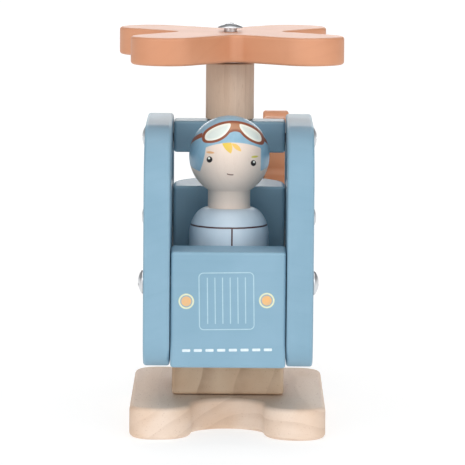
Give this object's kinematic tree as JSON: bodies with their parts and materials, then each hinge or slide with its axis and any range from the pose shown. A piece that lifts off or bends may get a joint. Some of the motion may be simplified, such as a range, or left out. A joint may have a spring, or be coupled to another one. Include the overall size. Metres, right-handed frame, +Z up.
{
  "type": "toy helicopter",
  "caption": "Painted wooden toy helicopter with an open cabin between two side panels, a turned pilot figure that lifts out, a petal rotor on a dowel mast and a tail rotor.",
  "frame": {"origin": "on the underside of the base board, under the axis of the rotor mast", "axes": "+X to the side that carries the tail rotor, +Y towards the tail, +Z up along the mast"},
  "size_m": [0.0856, 0.1886, 0.153],
  "materials": {
    "natural_beech": "bare sanded beech",
    "blue_paint": "dusty blue satin paint on wood",
    "terracotta_paint": "terracotta satin paint on wood",
    "pilot_paint": "painted and lacquered turned wood",
    "nickel_steel": "bright nickel-plated steel"
  },
  "bodies": {
    "airframe": {"base_board": "natural_beech", "pedestal_block": "natural_beech", "rotor_mast": "natural_beech", "left_floor_pin": "natural_beech", "right_floor_pin": "natural_beech", "lower_boom_pin": "natural_beech", "upper_boom_pin": "natural_beech", "cabin_floor": "blue_paint", "back_block": "blue_paint", "nose_block": "blue_paint", "top_crossbar": "blue_paint", "tail_boom": "blue_paint", "left_side_panel": "blue_paint", "right_side_panel": "blue_paint", "main_rotor_washer": "nickel_steel", "main_rotor_screw": "nickel_steel", "tail_rotor_washer": "nickel_steel", "tail_rotor_screw": "nickel_steel", "front_base_screw": "nickel_steel", "rear_base_screw": "nickel_steel", "left_top_screw": "nickel_steel", "left_nose_screw": "nickel_steel", "left_back_screw": "nickel_steel", "right_top_screw": "nickel_steel", "right_nose_screw": "nickel_steel", "right_back_screw": "nickel_steel"},
    "main_rotor": {"main_rotor": "terracotta_paint"},
    "tail_rotor": {"tail_rotor": "terracotta_paint"},
    "pilot": {"pilot_figure": "pilot_paint"}
  },
  "joints": [
    {"name": "main_rotor_spin", "type": "hinge", "parent": "airframe", "child": "main_rotor", "pos_m": [0, 0, 0.1444], "axis": [0, 0, 1], "continuous": true},
    {"name": "tail_rotor_spin", "type": "hinge", "parent": "airframe", "child": "tail_rotor", "pos_m": [0.0189, 0.1, 0.0871], "axis": [1, 0, 0], "continuous": true},
    {"name": "pilot_lift", "type": "slide", "parent": "airframe", "child": "pilot", "axis": [0, 0, 1], "range_m": [0, 0.0187]}
  ]
}
